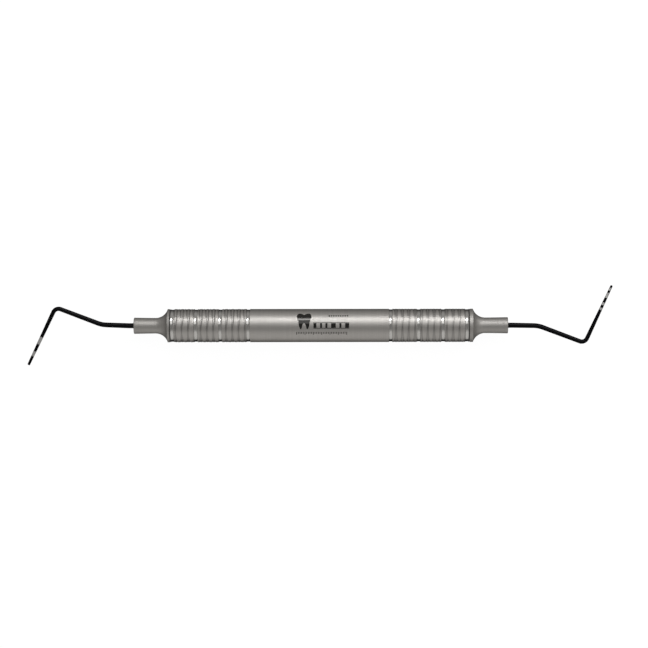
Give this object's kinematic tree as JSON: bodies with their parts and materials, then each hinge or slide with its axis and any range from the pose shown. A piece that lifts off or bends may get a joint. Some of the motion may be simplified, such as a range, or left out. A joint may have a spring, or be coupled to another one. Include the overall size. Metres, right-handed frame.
{
  "type": "periodontal probe",
  "caption": "Double-ended graduated dental probe: hollow grooved round steel handle, screw-in end cones and thin bent tapered probe wires with dark bands.",
  "frame": {"origin": "on the handle's axis at half its length, which is the centre of the whole instrument's bounding box", "axes": "+X along the handle towards the round-tipped probe, +Y the way the round-tipped probe's working end points, +Z square to the plane both probes are bent in"},
  "size_m": [0.1763, 0.0239, 0.01],
  "materials": {
    "barrel_satin_steel": "satin, with polished ring grooves",
    "bush_steel": "machined",
    "seal_rubber": "matte",
    "cone_satin_steel": "satin",
    "probe_black_coat": "glossy black coat on stainless wire, bare steel in the light bands"
  },
  "bodies": {
    "handle": {"barrel": "barrel_satin_steel", "left_bush": "bush_steel", "right_bush": "bush_steel"},
    "left_seal_body": {"left_seal": "seal_rubber"},
    "left_tip": {"left_cone": "cone_satin_steel", "left_probe": "probe_black_coat"},
    "right_seal_body": {"right_seal": "seal_rubber"},
    "right_tip": {"right_cone": "cone_satin_steel", "right_probe": "probe_black_coat"}
  },
  "joints": [
    {"name": "left_thread_travel", "type": "slide", "parent": "handle", "child": "left_seal_body", "axis": [-1, 0, 0], "range_m": [0, 0.0063]},
    {"name": "left_tip_turn", "type": "hinge", "parent": "left_seal_body", "child": "left_tip", "pos_m": [-0.045, 0, 0], "axis": [-1, 0, 0], "range_deg": [0, 3240.1]},
    {"name": "right_thread_travel", "type": "slide", "parent": "handle", "child": "right_seal_body", "axis": [1, 0, 0], "range_m": [0, 0.0063]},
    {"name": "right_tip_turn", "type": "hinge", "parent": "right_seal_body", "child": "right_tip", "pos_m": [0.045, 0, 0], "axis": [1, 0, 0], "range_deg": [0, 3240.1]}
  ],
  "couplings": [
    {"joint": "left_tip_turn", "follows": "left_thread_travel", "rad_per_m": 8976},
    {"joint": "right_tip_turn", "follows": "right_thread_travel", "rad_per_m": 8976}
  ]
}
